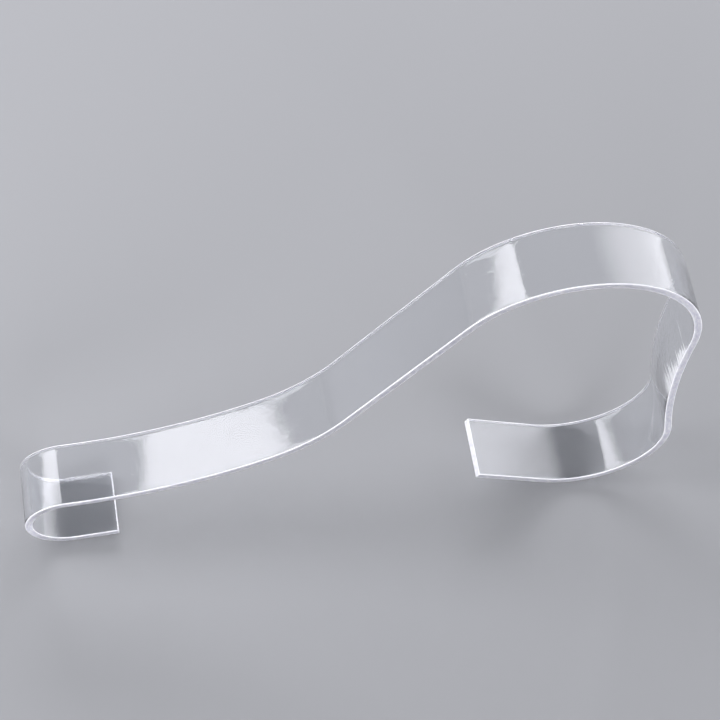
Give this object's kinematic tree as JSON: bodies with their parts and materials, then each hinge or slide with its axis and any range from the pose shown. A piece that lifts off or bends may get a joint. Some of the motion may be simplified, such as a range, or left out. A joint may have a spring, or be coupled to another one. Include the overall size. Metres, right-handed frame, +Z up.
{
  "type": "shoe display support strip",
  "caption": "Clear acrylic strip heat-bent into a hook, a rising span, a round crest and a curled foot, used inside a sandal or shoe to hold its shape on show.",
  "frame": {"origin": "middle of the strip's footprint box, on the floor it stands on", "axes": "+X from the hook towards the crest, +Y across the strip's width, +Z up"},
  "size_m": [0.2526, 0.025, 0.1595],
  "materials": {
    "clear_acrylic": "polished clear sheet with saw-cut edges"
  },
  "bodies": {
    "root": {"display_strip": "clear_acrylic"}
  },
  "joints": []
}
